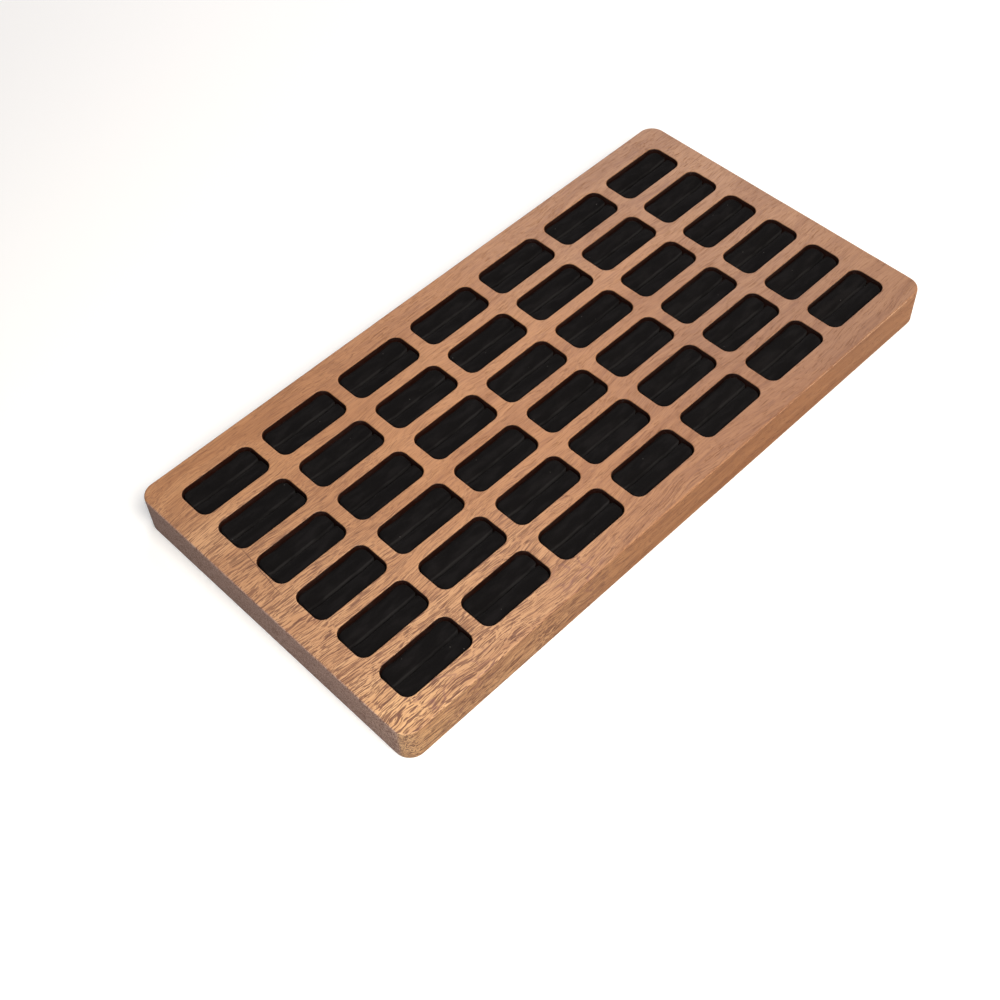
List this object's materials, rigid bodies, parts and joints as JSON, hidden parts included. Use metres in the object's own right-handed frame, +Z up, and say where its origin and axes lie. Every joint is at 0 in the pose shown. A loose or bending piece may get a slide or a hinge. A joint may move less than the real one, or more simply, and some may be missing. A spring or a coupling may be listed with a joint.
{
  "type": "ring display tray",
  "caption": "Flat hardwood tray with a grid of milled pockets, each filled by a pair of cloth-covered foam rolls that hold finger rings upright in the slit between them.",
  "frame": {"origin": "centre of the tray's underside", "axes": "+X along the long side and along each ring slit, +Y from the front long side to the back one, +Z up"},
  "size_m": [0.3, 0.155, 0.018],
  "materials": {
    "board_wood": "fine-grained warm brown hardwood, sanded smooth and oiled",
    "pad_cloth": "black short-pile velvet-like microfibre",
    "pad_foam": "soft dark grey polyurethane foam",
    "pad_card": "plain grey board"
  },
  "bodies": {
    "root": {"tray_board": "board_wood", "pad_covers_column1_row1": "pad_cloth", "pad_covers_column1_row2": "pad_cloth", "pad_covers_column1_row3": "pad_cloth", "pad_covers_column1_row4": "pad_cloth", "pad_covers_column1_row5": "pad_cloth", "pad_covers_column1_row6": "pad_cloth", "pad_covers_column2_row1": "pad_cloth", "pad_covers_column2_row2": "pad_cloth", "pad_covers_column2_row3": "pad_cloth", "pad_covers_column2_row4": "pad_cloth", "pad_covers_column2_row5": "pad_cloth", "pad_covers_column2_row6": "pad_cloth", "pad_covers_column3_row1": "pad_cloth", "pad_covers_column3_row2": "pad_cloth", "pad_covers_column3_row3": "pad_cloth", "pad_covers_column3_row4": "pad_cloth", "pad_covers_column3_row5": "pad_cloth", "pad_covers_column3_row6": "pad_cloth", "pad_covers_column4_row1": "pad_cloth", "pad_covers_column4_row2": "pad_cloth", "pad_covers_column4_row3": "pad_cloth", "pad_covers_column4_row4": "pad_cloth", "pad_covers_column4_row5": "pad_cloth", "pad_covers_column4_row6": "pad_cloth", "pad_covers_column5_row1": "pad_cloth", "pad_covers_column5_row2": "pad_cloth", "pad_covers_column5_row3": "pad_cloth", "pad_covers_column5_row4": "pad_cloth", "pad_covers_column5_row5": "pad_cloth", "pad_covers_column5_row6": "pad_cloth", "pad_covers_column6_row1": "pad_cloth", "pad_covers_column6_row2": "pad_cloth", "pad_covers_column6_row3": "pad_cloth", "pad_covers_column6_row4": "pad_cloth", "pad_covers_column6_row5": "pad_cloth", "pad_covers_column6_row6": "pad_cloth", "pad_covers_column7_row1": "pad_cloth", "pad_covers_column7_row2": "pad_cloth", "pad_covers_column7_row3": "pad_cloth", "pad_covers_column7_row4": "pad_cloth", "pad_covers_column7_row5": "pad_cloth", "pad_covers_column7_row6": "pad_cloth", "foam_strips_column1": "pad_foam", "foam_strips_column2": "pad_foam", "foam_strips_column3": "pad_foam", "foam_strips_column4": "pad_foam", "foam_strips_column5": "pad_foam", "foam_strips_column6": "pad_foam", "foam_strips_column7": "pad_foam", "base_cards_column1": "pad_card", "base_cards_column2": "pad_card", "base_cards_column3": "pad_card", "base_cards_column4": "pad_card", "base_cards_column5": "pad_card", "base_cards_column6": "pad_card", "base_cards_column7": "pad_card"}
  },
  "joints": []
}
